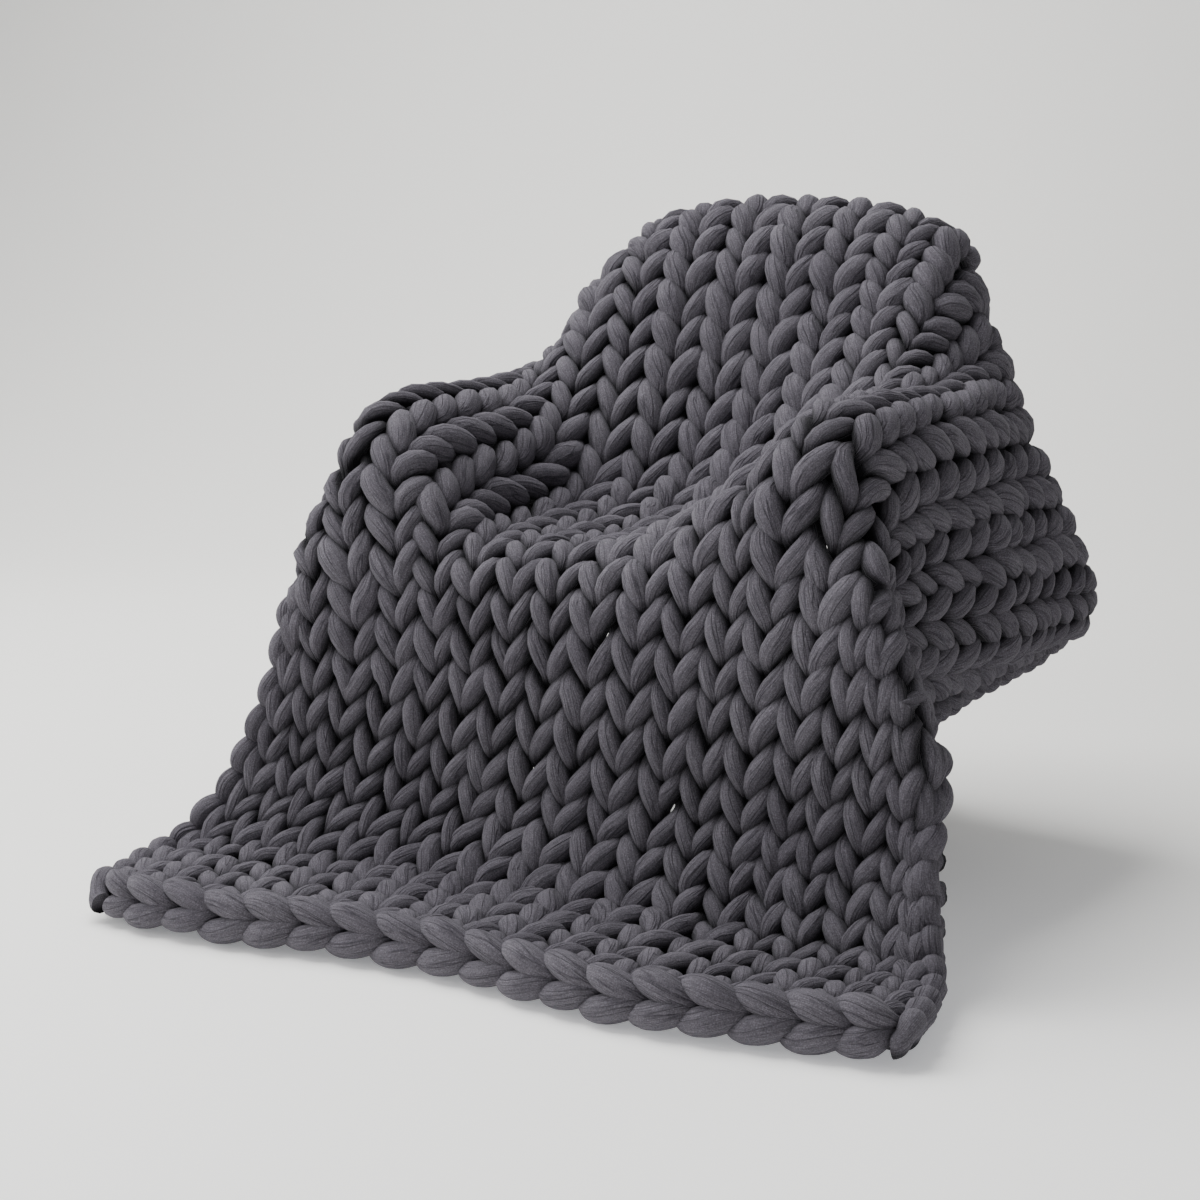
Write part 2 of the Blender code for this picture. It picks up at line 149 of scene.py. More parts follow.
SIDE_FOOT = [
    Bend(0, 0.480, -0.012, 0.030), Bend(1.9, 0.478, 0.072, 0.026),
    Bend(3.5, 0.478, 0.143, 0.030), Bend(5.9, 0.478, 0.200, 0.100),
    Bend(8.9, 0.448, 0.224, 0.220), Bend(10.8, 0.415, 0.239, 0.308),
    Bend(12.1, 0.382, 0.268, 0.335), Bend(13.4, 0.354, 0.312, 0.342),
    Bend(14.9, 0.364, 0.375, 0.341), Bend(18.3, 0.390, 0.540, 0.332),
    Bend(21.9, 0.394, 0.700, 0.324), Bend(24.8, 0.400, 0.822, 0.316),
    Bend(26.6, 0.360, 0.885, 0.306), Bend(29.5, 0.262, 0.925, 0.285),
    Bend(32.5, 0.180, 0.915, 0.245), Bend(35.5, 0.110, 0.940, 0.195),
    Bend(39, 0.055, 0.950, 0.130),
]
SELVAGE = [
    Bend(0, 0.535, -0.012, 0.030), Bend(1.9, 0.526, 0.070, 0.026),
    Bend(3.5, 0.516, 0.138, 0.030), Bend(5.9, 0.504, 0.190, 0.090),
    Bend(8.3, 0.468, 0.220, 0.172), Bend(10, 0.436, 0.262, 0.236),
    Bend(11.8, 0.380, 0.298, 0.256), Bend(14.2, 0.360, 0.378, 0.263),
    Bend(18.3, 0.356, 0.540, 0.269), Bend(21.9, 0.356, 0.700, 0.271),
    Bend(24.8, 0.360, 0.808, 0.273), Bend(26.6, 0.326, 0.860, 0.269),
    Bend(29.5, 0.248, 0.905, 0.252), Bend(32.5, 0.180, 0.905, 0.204),
    Bend(35.5, 0.110, 0.930, 0.147), Bend(39, 0.055, 0.950, 0.080),
]

# wales: how many wales each line lies to the right of the middle line
WaleLine = namedtuple("WaleLine", "wales bends")
WALE_LINES = [
    WaleLine(-9.0, SIDE_FOOT), WaleLine(-6.5, SIDE), WaleLine(-5.4, ARM_EDGE),
    WaleLine(-4.5, LEFT_ARM_TOP), WaleLine(-2.4, LEFT_LAP), WaleLine(0.0, MIDDLE),
    WaleLine(3.05, RIGHT_LAP), WaleLine(4.35, RIGHT_ARM_TOP), WaleLine(5.25, ARM_EDGE),
    WaleLine(6.4, SIDE), WaleLine(8.8, SIDE_FOOT), WaleLine(10.0, SELVAGE),
]

# The cloth lies uneven: each side's lines shift across by this much at these courses.
Drift = namedtuple("Drift", "courses left right")
DRIFTS = [
    Drift(0, -0.024, -0.020), Drift(2.4, -0.058, -0.028), Drift(3.5, -0.064, -0.028),
    Drift(4.7, -0.046, -0.036), Drift(5.9, -0.018, -0.040), Drift(9.5, 0.016, -0.010),
    Drift(11.8, 0.010, 0.000), Drift(13.2, -0.008, 0.000), Drift(14.6, -0.026, 0.000),
    Drift(16.5, -0.032, 0.000), Drift(20.1, -0.014, 0.000), Drift(24.8, -0.014, -0.010),
    Drift(31.9, -0.006, -0.012), Drift(39, 0.000, 0.000),
]
DRIFT_WALES = 4.5        # a line this far from the middle has its side's whole shift
PROBE = 0.05             # stitches to each side over which the cloth's slope is taken

# The front hem wanders forward and back as it lies on the floor.
HEM_WAVE = 0.018
HEM_WAVE_LENGTH = 0.60
HEM_WAVE_PHASE = 0.10
HEM_WAVE_COURSES = 3.5


# ---------------------------------------------------------------- smooth paths
def hermite(knots, values, slopes, at):
    """Cubic through values[i] at knots[i] with the given slopes."""
    piece = np.clip(np.searchsorted(knots, at, side="right") - 1, 0, len(knots) - 2)
    span = (knots[piece + 1] - knots[piece])[:, None]
    t = ((at - knots[piece])[:, None]) / span
    if values.ndim == 3:
        each = np.arange(len(at))
        low, high = values[piece, each], values[piece + 1, each]
        rise_low, rise_high = slopes[piece, each], slopes[piece + 1, each]
    else:
        low, high = values[piece], values[piece + 1]
        rise_low, rise_high = slopes[piece], slopes[piece + 1]
    return ((2 * t**3 - 3 * t**2 + 1) * low + (t**3 - 2 * t**2 + t) * span * rise_low
            + (3 * t**2 - 2 * t**3) * high + (t**3 - t**2) * span * rise_high)


def soft_slopes(knots, values):
    """Slopes for a path that bends softly, like rope."""
    gaps = np.diff(knots)[:, None]
    steps = np.diff(values, axis=0) / gaps
    slopes = np.empty_like(values)
    slopes[1:-1] = (gaps[1:] * steps[:-1] + gaps[:-1] * steps[1:]) / (gaps[:-1] + gaps[1:])
    slopes[0] = 1.5 * steps[0] - 0.5 * slopes[1]
    slopes[-1] = 1.5 * steps[-1] - 0.5 * slopes[-2]
    return slopes


def taut_slopes(knots, values):
    """Slopes for cloth that spans from line to line and never bulges past them."""
    gaps = np.diff(knots)[:, None, None]
    steps = np.diff(values, axis=0) / gaps
    slopes = np.zeros_like(values)
    before, after = steps[:-1], steps[1:]
    weight_before = 2 * gaps[1:] + gaps[:-1]
    weight_after = gaps[1:] + 2 * gaps[:-1]
    same_way = before * after > 0
    safe_before = np.where(same_way, before, 1.0)
    safe_after = np.where(same_way, after, 1.0)
    mean = ((weight_before + weight_after)
            / (weight_before / safe_before + weight_after / safe_after))
    slopes[1:-1] = np.where(same_way, mean, 0.0)
    slopes[0] = steps[0]
    slopes[-1] = steps[-1]
    return slopes


def wale_path(line, courses):
    """Points of one wale line at the given courses."""
    side = -1 if line.wales < 0 else 1
    rows = np.array(line.bends, dtype=float)
    points = hermite(rows[:, 0], rows[:, 1:], soft_slopes(rows[:, 0], rows[:, 1:]), courses)
    points[:, 0] *= side
    drift = np.array(DRIFTS, dtype=float)
    left = np.interp(courses, drift[:, 0], drift[:, 1])
    right = np.interp(courses, drift[:, 0], drift[:, 2])
    toward_right = 0.5 + 0.5 * side * min(abs(line.wales) / DRIFT_WALES, 1.0)
    points[:, 0] += left + (right - left) * toward_right
    turn = 2 * math.pi * (points[:, 0] - HEM_WAVE_PHASE) / HEM_WAVE_LENGTH
    points[:, 1] -= HEM_WAVE * np.sin(turn) * np.clip(1 - courses / HEM_WAVE_COURSES, 0, 1)
    return points


def drape(wales, courses):
    """Middle surface of the cloth at paired arrays of wales (from the middle) and courses.

    Past an edge, the surface runs straight on."""
    knots = np.array([line.wales for line in WALE_LINES])
    inside = np.clip(courses, 0, COURSES)
    paths = np.array([wale_path(line, inside) for line in WALE_LINES])
    points = hermite(knots, paths, taut_slopes(knots, paths), wales)
    points[:, 1] -= MOUNT_BACK
    points[:, 2] -= MOUNT_UP
    return points


def cloth_frame(wales, courses):
    """Middle points, unit normals, and the cloth's steps per wale and per course."""
    left, right = -float(WALES_LEFT), float(WALES_RIGHT)
    u = np.clip(wales, left, right)
    v = np.clip(courses, 0.0, float(COURSES))
    low_u, high_u = np.clip(u - PROBE, left, right), np.clip(u + PROBE, left, right)
    low_v, high_v = np.clip(v - PROBE, 0, COURSES), np.clip(v + PROBE, 0, COURSES)
    per_wale = (drape(high_u, v) - drape(low_u, v)) / (high_u - low_u)[:, None]
    per_course = (drape(u, high_v) - drape(u, low_v)) / (high_v - low_v)[:, None]
    normal = np.cross(per_wale, per_course)
    normal /= np.linalg.norm(normal, axis=1, keepdims=True)
    middle = drape(u, v) + per_wale * (wales - u)[:, None] + per_course * (courses - v)[:, None]
    return middle, normal, per_wale, per_course


# ---------------------------------------------------------------- yarn
# points: the core; radii: its thickness; fronts: which way the cloth faces there;
# lifts: how far the core lies in front of the cloth's middle; narrow: its width to its height.
# The lifts set the painted shade that darkens the wool in the hollows between yarns.
Yarn = namedtuple("Yarn", "points radii fronts lifts narrow")
LEG_NARROW = 0.87        # neighbouring legs press each other narrow, but not on the loose flap
LEG_EASED = 0.92         # and less where the wales are pulled apart
NARROW_FROM = 6          # courses from the front hem to where legs are fully pressed
SHEAR_EASE = 0.75        # how much of the cloth's slant the legs of a stitch shrug off
SHEAR_ONSET = 2.2        # how fast that sets in away from a stitch's feet
SLANT_LIMIT = 1.2        # courses per wale: what is steeper isn't shrugged off
LEAN_LIMITS = (0.86, 1.0)      # the legs lean less where the wales are pulled apart
FILL_LIMITS = (1.0, 1.3)       # and their heads and feet are fluffed out more there
FILL_POWER = 4
BARE_LIFT = 0.030        # yarn at the cloth's edge has no hollow beside it, so it gets no painted shade
BARE_WALES = 0.5         # the edge is this wide

# How much hand-knitted legs differ from each other (standard deviations)
FAT_SPREAD = 0.07        # of a leg's thickness
SIDE_SPREAD = 0.035      # wales
RISE_SPREAD = 0.05       # courses
LIFT_SPREAD = 0.0012     # metres


def unit(vectors):
    return vectors / np.linalg.norm(vectors, axis=1, keepdims=True)


def swell_of(per_wale, per_course):
    """How far the wales are pulled apart, measured square to the wales."""
    area = np.linalg.norm(np.cross(per_wale, per_course), axis=1)
    return area / np.linalg.norm(per_course, axis=1) / GAUGE


def course_yarn(row, chance):
    """The yarn of one course, from selvage to selvage."""
    steps = STEPS_PER_STITCH * WALES
    turn = np.linspace(0, 2 * math.pi * WALES, steps + 1)
    stitch = turn / (2 * math.pi)
    legs = np.arange(2 * WALES) / 2 + 0.25
    leg_fat = 1 + FAT_SPREAD * chance.standard_normal(len(legs))
    leg_side = SIDE_SPREAD * chance.standard_normal(len(legs))
    leg_rise = RISE_SPREAD * chance.standard_normal(len(legs))
    leg_lift = LIFT_SPREAD * chance.standard_normal(len(legs))
    centres = np.floor(np.clip(stitch, 0, WALES - 1e-6)) + 0.5
    courses = row + 0.5 - LOOP_RISE * np.cos(turn) + np.interp(stitch, legs, leg_rise)
    _, _, per_wale, per_course = cloth_frame(centres - WALES_LEFT, courses)
    swell = swell_of(per_wale, per_course)
    lean = LOOP_LEAN * np.clip(1 / swell, *LEAN_LIMITS)
    wales = stitch + lean * np.sin(2 * turn) + np.interp(stitch, legs, leg_side)
    course_size = np.linalg.norm(per_course, axis=1)
    slant = np.sum(per_wale * per_course, axis=1) / course_size**2
    ease = SHEAR_EASE * np.clip(SHEAR_ONSET * np.abs(np.sin(turn / 2)), 0, 1)
    courses = courses - ease * np.clip(slant, -SLANT_LIMIT, SLANT_LIMIT) * (wales - centres)
    courses = np.clip(courses, 0, COURSES)
    depth = -LOOP_DEPTH * np.cos(2 * turn) + np.interp(stitch, legs, leg_lift)
    middle, normal, _, _ = cloth_frame(wales - WALES_LEFT, courses)
    fat = np.interp(stitch, legs, leg_fat) * np.clip(swell, *SWELL_LIMITS)
    hidden = np.clip(np.cos(2 * turn), 0, 1) * np.clip(swell, *FILL_LIMITS) ** FILL_POWER
    radii = YARN_RADIUS - LEG_SWELL * np.cos(2 * turn) + BACK_FILL * hidden
    radii *= fat
    pressed = np.clip(LEG_NARROW * swell, LEG_NARROW, LEG_EASED)
    narrow = 1.0 + (pressed - 1.0) * min(row / NARROW_FROM, 1.0)
    bare = np.clip(1 - np.minimum(stitch, WALES - stitch) / BARE_WALES, 0, 1)
    return Yarn(middle + normal * depth[:, None], radii, normal, depth + BARE_LIFT * bare, narrow)


EDGE_OUT = 0.30          # wales that the turn at a selvage swings out past its ends
EDGE_START = 0.02        # wales that its ends lie past the selvage
EDGE_DROP = 0.12         # courses that it starts below the course's foot
EDGE_RISE = 0.62         # half the courses that it climbs
EDGE_SWELL = 0.6         # its share of a leg's swell
TURN_FAT_SPREAD = 0.06   # how much the turns and the links differ in thickness


def edge_yarn(row, side, chance):
    """The turn at a selvage, from one course's last foot to the next course's."""
    turn = np.linspace(0, math.pi, STEPS_PER_STITCH + 1)
    edge = WALES_RIGHT if side > 0 else -WALES_LEFT
    wales = edge + side * (EDGE_OUT * np.sin(turn) + EDGE_START)
    courses = row + 0.5 - LOOP_RISE + (1 - np.cos(turn)) * EDGE_RISE - EDGE_DROP
    depth = -LOOP_DEPTH * np.cos(2 * turn)
    middle, normal, _, _ = cloth_frame(wales, courses)
    fat = 1 + TURN_FAT_SPREAD * chance.standard_normal()
    hidden = np.clip(np.cos(2 * turn), 0, 1)
    radii = (YARN_RADIUS - EDGE_SWELL * LEG_SWELL * np.cos(2 * turn) + BACK_FILL * hidden) * fat
    return Yarn(middle + normal * depth[:, None], radii, normal, depth + BARE_LIFT, 1.0)


CHAIN_TILT = 12.0        # degrees that the chain's face looks up from straight out
CHAIN_OUT = 0.008        # the chain's core lies past the edge of the cloth by this much
CHAIN_LEG = 0.0120       # the two legs of a link lie this far to either side of its core
CHAIN_DEPTH = 0.0110     # a link's legs lie in front of the core, and its ends behind, by this
CHAIN_RISE = 0.86        # wales from a link's middle to its ends, so the links overlap
CHAIN_LEAN = 1.25        # a link is wider toward one end, and its legs cross near the other
CHAIN_FAT = 1.10         # the chain's yarn against a course's
CHAIN_NARROW = 0.84      # its width to its height
CHAIN_PAST = 0.15        # wales that the chain may run past a selvage
CHAIN_TUCK = 0.6         # the last links draw in over this many wales
CHAIN_TUCK_IN = 0.018    # by this much
CHAIN_TUCK_LEAST = 0.35  # the yarn there thins with the square root of this share, at least
CHAIN_POINT = 0.6        # radians of turn over which a link's two ends come to a point
CHAIN_POINT_LEAST = 0.15
CHAIN_SHIFT_SPREAD = 0.0015    # metres that links lie aside of each other
CHAIN_FACE = 0.011       # for the painted shade, the chain stands this far in front of the hollow at its core


def chain_yarn(course, chance):
    """The linked chain of a hem: a column of loops that lies along the edge."""
    ahead = -1.0 if course == 0 else 1.0
    tilt = math.radians(CHAIN_TILT)
    turn = np.linspace(0, 2 * math.pi, STEPS_PER_STITCH * 2 + 1)
    to_point = np.minimum(turn, 2 * math.pi - turn) / CHAIN_POINT
    point = np.clip(to_point, CHAIN_POINT_LEAST, 1.0)
    depth = -CHAIN_DEPTH * np.cos(2 * turn)
    yarns = []
    for link in range(WALES):
        along = link + 0.5 + CHAIN_RISE * np.cos(turn)
        wales = np.clip(along, -CHAIN_PAST, WALES + CHAIN_PAST) - WALES_LEFT
        middle, normal, _, per_course = cloth_frame(wales, np.full(len(turn), float(course)))
        out = unit(per_course) * ahead
        face = out * math.cos(tilt) + normal * math.sin(tilt)
        across = normal * math.cos(tilt) - out * math.sin(tilt)
        fat = CHAIN_FAT * (1 + TURN_FAT_SPREAD * chance.standard_normal())
        shift = CHAIN_SHIFT_SPREAD * chance.standard_normal()
        side = CHAIN_LEG * np.sin(turn) * (1 - CHAIN_LEAN * np.cos(turn)) + shift
        points = middle + out * CHAIN_OUT + across * side[:, None] + face * depth[:, None]
        to_end = np.minimum(along + CHAIN_PAST, WALES + CHAIN_PAST - along)
        tuck = np.clip(to_end / CHAIN_TUCK, CHAIN_TUCK_LEAST, 1.0)
        radii = (YARN_RADIUS - LEG_SWELL * np.cos(2 * turn)) * fat * tuck**0.5 * point
        points -= out * ((1 - tuck) * CHAIN_TUCK_IN)[:, None]
        # the middle links take their painted shade from CHAIN_FACE, the end links get none
        face_lift = CHAIN_FACE if 0 < link < WALES - 1 else BARE_LIFT
        yarns.append(Yarn(points, radii, face, depth + face_lift, CHAIN_NARROW))
    return yarns


# Grooves between the strands that wind round the yarn: depth as a share of its radius, count
# round it, radians of wind per metre, and phase.
Groove = namedtuple("Groove", "depth count wind phase")
GROOVES = [Groove(0.022, 5, 38, 0.0), Groove(0.016, 7, -55, 1.0)]
UV_STEP = 0.37           # metres along the fibres between one yarn and the next


def tube(yarn):
    """Vertices, quads, UVs and crests of a yarn's surface, and its number of rings.

    U runs along the yarn and V round it.  A crest is how far a vertex lies from the cloth's
    middle."""
    ahead = unit(np.gradient(yarn.points, axis=0))
    side = unit(np.cross(ahead, yarn.fronts))
    front = np.cross(side, ahead)
    length = np.concatenate([[0], np.cumsum(np.linalg.norm(np.diff(yarn.points, axis=0), axis=1))])
    angle = np.linspace(0, 2 * math.pi, SIDES, endpoint=False)
    grooved = np.ones((len(length), SIDES))
    for groove in GROOVES:
        wound = groove.count * angle[None, :] + groove.wind * length[:, None] + groove.phase
        grooved += groove.depth * np.sin(wound)
    reach = yarn.radii[:, None] * grooved
    narrow = np.broadcast_to(yarn.narrow, yarn.radii.shape)[:, None, None]
    ring = (-front[:, None, :] * np.cos(angle)[None, :, None]
            + side[:, None, :] * np.sin(angle)[None, :, None] * narrow)
    points = (yarn.points[:, None, :] + ring * reach[:, :, None]).reshape(-1, 3)
    rows = len(yarn.points)
    at = np.arange(rows - 1)[:, None] * SIDES + np.arange(SIDES)[None, :]
    right = np.arange(rows - 1)[:, None] * SIDES + (np.arange(SIDES)[None, :] + 1) % SIDES
    quads = np.stack([at, right, right + SIDES, at + SIDES], axis=-1).reshape(-1, 4)
    u_low = np.repeat(length[:-1], SIDES)
    u_high = np.repeat(length[1:], SIDES)
    v_low = np.tile(np.arange(SIDES) / SIDES, rows - 1)
    v_high = v_low + 1 / SIDES
    uvs = np.stack([np.stack([u_low, v_low], -1), np.stack([u_low, v_high], -1),
                    np.stack([u_high, v_high], -1), np.stack([u_high, v_low], -1)], axis=1)
    # the crest sets the painted shade in the hollows between yarns
    crest = np.abs(yarn.lifts[:, None] - reach * np.cos(angle)[None, :])
    return points, quads, uvs.reshape(-1, 2), crest.ravel(), rows


def cap(first, rows):
    """The two end rings of a tube, each as one face."""
    start = [first + i for i in range(SIDES)]
    last = first + (rows - 1) * SIDES
    end = [last + i for i in range(SIDES)]
    return start, end


def yarn_piece(name, yarns, material):
    """One mesh object made of several yarns."""
    all_points, all_quads, all_uvs, all_crests, caps = [], [], [], [], []
    count = 0
    for number, yarn in enumerate(yarns):
        points, quads, uvs, crests, rows = tube(yarn)
        all_crests.append(crests)
        all_points.append(points)
        all_quads.append(quads + count)
        all_uvs.append(uvs + np.array([[UV_STEP * number, 0.0]]))
        start, end = cap(count, rows)
        caps += [start, end[::-1]]
        count += len(points)
    points = np.vstack(all_points)
    quads = np.vstack(all_quads)
    mesh = bpy.data.meshes.new(name)
    mesh.vertices.add(len(points))
    mesh.vertices.foreach_set("co", points.ravel())
    corners = np.concatenate([quads.ravel(), np.array(caps).ravel()])
    mesh.loops.add(len(corners))
    mesh.loops.foreach_set("vertex_index", corners)
    mesh.polygons.add(len(quads) + len(caps))
    quad_starts = np.arange(len(quads)) * 4
    cap_starts = len(quads) * 4 + np.arange(len(caps)) * SIDES
    mesh.polygons.foreach_set("loop_start", np.concatenate([quad_starts, cap_starts]))
    mesh.update(calc_edges=True)
    layer = mesh.uv_layers.new(name="yarn")
    uvs = np.vstack(all_uvs + [np.zeros((len(caps) * SIDES, 2))])
    layer.data.foreach_set("uv", uvs.ravel())
    crest = mesh.attributes.new("crest", "FLOAT", "POINT")
    crest.data.foreach_set("value", np.concatenate(all_crests))
    mesh.materials.append(material)
    mesh.shade_smooth()
    piece = bpy.data.objects.new(name, mesh)
    bpy.context.scene.collection.objects.link(piece)
    return piece


# ---------------------------------------------------------------- materials
WOOL_DARK = (0.070, 0.065, 0.076)
WOOL_LIGHT = (0.186, 0.175, 0.198)
# Painted shade: the wool is darkened where the yarn lies deep between neighbouring yarns
PAINTED_SHADE_TONE = (0.05, 0.05, 0.055)
FULL_SHADE_DEPTH = 0.010     # metres from the cloth's middle: full painted shade
NO_SHADE_DEPTH = 0.023      # no painted shade
ROUGHNESS = 0.97
SPECULAR = 0.08
SHEEN = 0.12
SHEEN_ROUGHNESS = 0.45
SHEEN_TINT = (0.85, 0.84, 0.90, 1.0)

# Noises: on the yarn's own length and turn (UV) or in space (Object), with their scale
Noise = namedtuple("Noise", "name source scale detail roughness distortion")
FIBRES = Noise("fibres", "UV", (60.0, 75.0, 1.0), 3.0, 0.70, 0.5)
GRAIN = Noise("grain", "Object", (620.0, 620.0, 620.0), 2.0, 0.60, 0.0)
LOCKS = Noise("locks", "UV", (10.0, 9.0, 1.0), 3.0, 0.55, 0.4)
SPLITS = Noise("splits", "UV", (7.0, 8.0, 1.0), 2.0, 0.45, 0.6)
PATCHES = Noise("patches", "Object", (9.0, 9.0, 9.0), 3.0, 0.5, 0.0)

# Tones by the noise's value
PLAIN = (1.0, 1.0, 1.0)
FIBRE_TONES = [(0.25, WOOL_DARK), (0.72, WOOL_LIGHT)]
GRAIN_TONES = [(0.30, (0.58, 0.57, 0.59)), (0.52, (0.86, 0.86, 0.86)), (0.72, (1.24, 1.22, 1.26))]
# Splits: dark lines where the strands part, painted shade in these grooves
SPLIT_SHADE_TONES = [(0.475, PLAIN), (0.50, (0.60, 0.59, 0.61)), (0.525, PLAIN)]
PATCH_TONES = [(0.30, (0.80, 0.79, 0.81)), (0.70, PLAIN)]
PAINTED_SHADE_TONES = [(0.0, PAINTED_SHADE_TONE), (1.0, PLAIN)]

# Relief: the weight of each layer, and the bump that they make together
SPLIT_RELIEF = 0.8
LOCK_RELIEF = 0.9
FIBRE_RELIEF = 0.30
GRAIN_RELIEF = 0.22
BUMP_STRENGTH = 0.85
BUMP_DISTANCE = 0.0045


def wool_material():
    """Heather-grey roving: fine fibres along the yarn, painted shade in splits between strands,
    soft sheen.

    The mesh attribute crest says how far a point lies from the cloth's middle, and the wool's
    colour is darkened toward zero, where the fibres lie deep between neighbouring yarns: painted
    shade."""
    material = bpy.data.materials.new("wool")
    material.use_nodes = True
    nodes, links = material.node_tree.nodes, material.node_tree.links
    shader = nodes["Principled BSDF"]
    shader.inputs["Roughness"].default_value = ROUGHNESS
    shader.inputs["Metallic"].default_value = 0.0
    shader.inputs["Specular IOR Level"].default_value = SPECULAR
    shader.inputs["Sheen Weight"].default_value = SHEEN
    shader.inputs["Sheen Roughness"].default_value = SHEEN_ROUGHNESS
    shader.inputs["Sheen Tint"].default_value = SHEEN_TINT
    place = nodes.new("ShaderNodeTexCoord")

    def noise(layer):
        stretch = nodes.new("ShaderNodeMapping")
        stretch.inputs["Scale"].default_value = layer.scale
        texture = nodes.new("ShaderNodeTexNoise")
        texture.name = layer.name
        texture.inputs["Scale"].default_value = 1.0
        texture.inputs["Detail"].default_value = layer.detail
        texture.inputs["Roughness"].default_value = layer.roughness
        texture.inputs["Distortion"].default_value = layer.distortion
        links.new(place.outputs[layer.source], stretch.inputs["Vector"])
        links.new(stretch.outputs["Vector"], texture.inputs["Vector"])
        return texture.outputs["Fac"]

    def ramp(value, stops):
        node = nodes.new("ShaderNodeValToRGB")
        while len(node.color_ramp.elements) < len(stops):
            node.color_ramp.elements.new(0.5)
        for element, (position, color) in zip(node.color_ramp.elements, stops):
            element.position = position
            element.color = (*color, 1.0)
        links.new(value, node.inputs["Fac"])
        return node.outputs["Color"]

    def multiply(first, second):
        node = nodes.new("ShaderNodeMix")
        node.data_type = "RGBA"
        node.blend_type = "MULTIPLY"
        node.inputs["Factor"].default_value = 1.0
        links.new(first, node.inputs["A"])
        links.new(second, node.inputs["B"])
        return node.outputs["Result"]

    def weighted(value, weight, other=None):
        node = nodes.new("ShaderNodeMath")
        node.operation = "MULTIPLY_ADD"
        node.inputs[1].default_value = weight
        node.inputs[2].default_value = 0.0
        links.new(value, node.inputs[0])
        if other is not None:
            links.new(other, node.inputs[2])
        return node.outputs["Value"]

    fibres = noise(FIBRES)
    grain = noise(GRAIN)
    locks = noise(LOCKS)
    splits = noise(SPLITS)
    patches = noise(PATCHES)

    grey = ramp(fibres, FIBRE_TONES)
    grain_tone = ramp(grain, GRAIN_TONES)
    # dark lines in the splits between strands: painted shade, also used as relief
    split_groove_shade = ramp(splits, SPLIT_SHADE_TONES)
    patch_tone = ramp(patches, PATCH_TONES)
    # painted shade: the wool is darkened where its crest lies near the cloth's middle
    crest = nodes.new("ShaderNodeAttribute")
    crest.attribute_name = "crest"
    height = nodes.new("ShaderNodeMapRange")
    height.inputs["From Min"].default_value = FULL_SHADE_DEPTH
    height.inputs["From Max"].default_value = NO_SHADE_DEPTH
    height.interpolation_type = "SMOOTHSTEP"
    links.new(crest.outputs["Fac"], height.inputs["Value"])
    painted_shade = ramp(height.outputs["Result"], PAINTED_SHADE_TONES)
    yarn_tone = multiply(multiply(grey, grain_tone), split_groove_shade)
    color = multiply(yarn_tone, multiply(patch_tone, painted_shade))
    links.new(color, shader.inputs["Base Color"])

    relief = weighted(split_groove_shade, SPLIT_RELIEF)
    relief = weighted(locks, LOCK_RELIEF, relief)
    relief = weighted(fibres, FIBRE_RELIEF, relief)
    relief = weighted(grain, GRAIN_RELIEF, relief)
    bump = nodes.new("ShaderNodeBump")
    bump.inputs["Strength"].default_value = BUMP_STRENGTH
    bump.inputs["Distance"].default_value = BUMP_DISTANCE
    links.new(relief, bump.inputs["Height"])
    links.new(bump.outputs["Normal"], shader.inputs["Normal"])
    return material


PAPER = (0.90, 0.893, 0.86, 1.0)
PAPER_ROUGHNESS = 0.9
GLOW_COLOR = (0.95, 0.96, 1.0, 1.0)
FLOOR_GLOW = (0.47, 0.06)      # painted light: the backdrop glows this much in front of the blanket and behind it
GLOW_REACH = (-1.5, 0.3)       # fades between these, in metres past the origin along the view


def floor_material():
    """Warm white paper that glows, painted light that is a little brighter underfoot than on the
    wall.
    """
    material = bpy.data.materials.new("backdrop")
    material.use_nodes = True
    nodes, links = material.node_tree.nodes, material.node_tree.links
    shader = nodes["Principled BSDF"]
    shader.inputs["Base Color"].default_value = PAPER
    shader.inputs["Roughness"].default_value = PAPER_ROUGHNESS
    shader.inputs["Emission Color"].default_value = GLOW_COLOR
    place = nodes.new("ShaderNodeTexCoord")
    split = nodes.new("ShaderNodeSeparateXYZ")
    fade = nodes.new("ShaderNodeMapRange")
    fade.interpolation_type = "SMOOTHSTEP"
    fade.inputs["From Min"].default_value, fade.inputs["From Max"].default_value = GLOW_REACH
    fade.inputs["To Min"].default_value, fade.inputs["To Max"].default_value = FLOOR_GLOW
    links.new(place.outputs["Object"], split.inputs["Vector"])
    links.new(split.outputs["Y"], fade.inputs["Value"])
    links.new(fade.outputs["Result"], shader.inputs["Emission Strength"])
    return material


# ---------------------------------------------------------------- the blanket
SEED = 7
CourseGroup = namedtuple("CourseGroup", "name first past")
COURSE_GROUPS = [
    CourseGroup("courses_flap", 0, 7), CourseGroup("courses_front", 7, 14),
    CourseGroup("courses_seat", 14, 22), CourseGroup("courses_back", 22, 30),
    CourseGroup("courses_rear", 30, COURSES),
]


def knit():
    """All the yarn of the blanket, as pieces that stand for its one node."""
    wool = wool_material()
    chance = np.random.default_rng(SEED)
    pieces = []
    for group in COURSE_GROUPS:
        yarns = []
        for row in range(group.first, group.past):
            yarns.append(course_yarn(row, chance))
            yarns.append(edge_yarn(row, -1, chance))
            yarns.append(edge_yarn(row, 1, chance))
        pieces.append(yarn_piece(group.name, yarns, wool))
    pieces.append(yarn_piece("hem_front", chain_yarn(0, chance), wool))
    pieces.append(yarn_piece("hem_back", chain_yarn(COURSES, chance), wool))
    for piece in pieces:
        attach(piece, "root")
    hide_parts("blanket")


# ---------------------------------------------------------------- studio
FLOOR = -MOUNT_UP
FLOOR_FRONT = -5.0       # the floor's near edge, past the row's origin along the view
SWEEP_START = 2.2        # the floor starts to rise here
SWEEP_RADIUS = 3.0
SWEEP_STEPS = 24
SWEEP_TOP = 7.0          # height of the wall
SWEEP_HALF = 9.0         # half its width
CAMERA_TURN = 31.081     # degrees about +Z


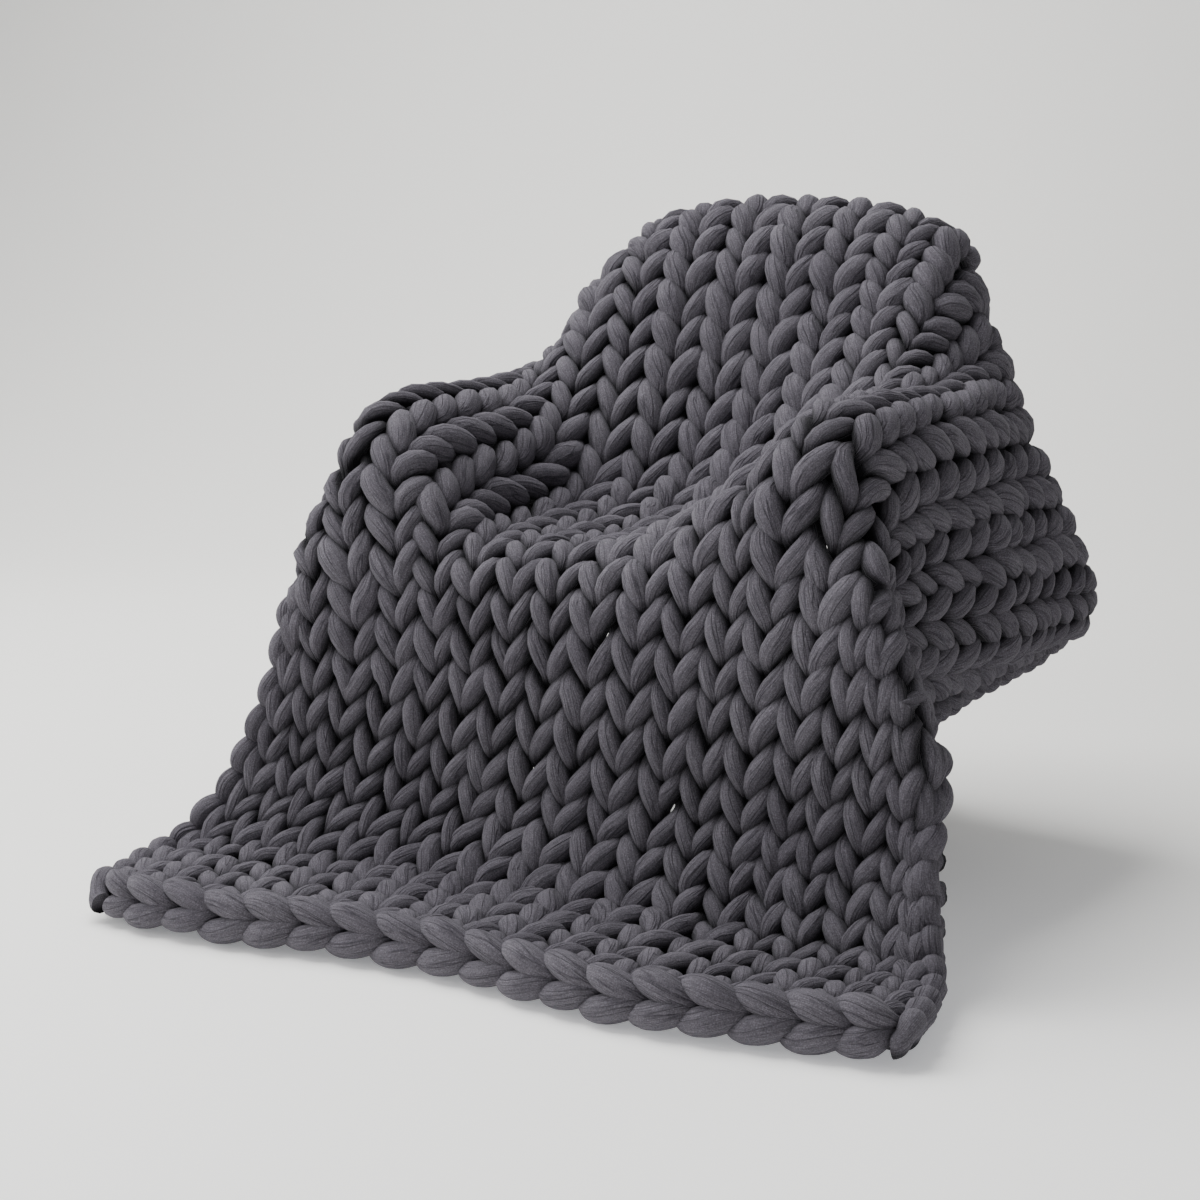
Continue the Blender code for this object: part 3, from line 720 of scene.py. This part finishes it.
def make_floor():
    """Pale floor that sweeps up into a pale wall behind the blanket, square to the camera."""
    profile = [(FLOOR_FRONT, 0.0), (SWEEP_START, 0.0)]
    for step in range(1, SWEEP_STEPS + 1):
        bend = math.radians(90 * step / SWEEP_STEPS)
        back = SWEEP_START + SWEEP_RADIUS * math.sin(bend)
        profile.append((back, SWEEP_RADIUS * (1 - math.cos(bend))))
    profile.append((SWEEP_START + SWEEP_RADIUS, SWEEP_TOP))
    corners = [(side * SWEEP_HALF, back, FLOOR + up) for back, up in profile for side in (-1, 1)]
    faces = [(2 * i, 2 * i + 1, 2 * i + 3, 2 * i + 2) for i in range(len(profile) - 1)]
    mesh = bpy.data.meshes.new("floor")
    mesh.from_pydata(corners, [], faces)
    mesh.materials.append(floor_material())
    mesh.shade_smooth()
    floor = bpy.data.objects.new("floor", mesh)
    floor.rotation_euler = (0.0, 0.0, math.radians(CAMERA_TURN))
    bpy.context.scene.collection.objects.link(floor)


SoftLight = namedtuple("SoftLight", "name place aim size power")
LIGHTS = [
    SoftLight("top", (-1.55, -0.35, 2.25), (0.0, -0.3, -0.4), 3.1, 222.0),
    SoftLight("front", (-2.4, -2.9, 0.6), (0.0, -0.45, -0.3), 2.2, 50.0),
    SoftLight("wall", (-1.2, 2.0, 2.6), (-3.0, 5.2, 1.0), 2.5, 94.0),
]
ROOM_LIGHT = (0.99, 0.99, 1.0, 1.0)
ROOM_STRENGTH = 0.31


def soft_light(lit):
    """One square panel of light, turned from its place to its aim."""
    lamp = bpy.data.lights.new(lit.name, "AREA")
    lamp.shape = "SQUARE"
    lamp.size = lit.size
    lamp.energy = lit.power
    light = bpy.data.objects.new(lit.name, lamp)
    light.location = lit.place
    bpy.context.scene.collection.objects.link(light)
    way = np.array(lit.aim) - np.array(lit.place)
    flat = math.hypot(way[0], way[1])
    light.rotation_euler = (math.atan2(flat, -way[2]), 0.0, math.atan2(-way[0], way[1]))


def make_lights():
    for lit in LIGHTS:
        soft_light(lit)
    world = bpy.data.worlds.new("studio")
    world.use_nodes = True
    world.node_tree.nodes["Background"].inputs["Color"].default_value = ROOM_LIGHT
    world.node_tree.nodes["Background"].inputs["Strength"].default_value = ROOM_STRENGTH
    bpy.context.scene.world = world


# Camera: on the right of the front, a little over two metres off, looking slightly down.
CAMERA_PLACE = (1.4029, -2.0164 - MOUNT_BACK, 0.8047 - MOUNT_UP)
CAMERA_DOWN = 9.30       # degrees below level
CAMERA_LENS = 72.0       # millimetres
CAMERA_SENSOR = 36.0     # millimetres


def make_camera():
    lens = bpy.data.cameras.new("camera")
    lens.lens = CAMERA_LENS
    lens.sensor_width = CAMERA_SENSOR
    camera = bpy.data.objects.new("camera", lens)
    camera.location = CAMERA_PLACE
    camera.rotation_euler = (math.radians(90 - CAMERA_DOWN), 0.0, math.radians(CAMERA_TURN))
    bpy.context.scene.collection.objects.link(camera)
    bpy.context.scene.camera = camera


knit()
make_floor()
make_lights()
make_camera()
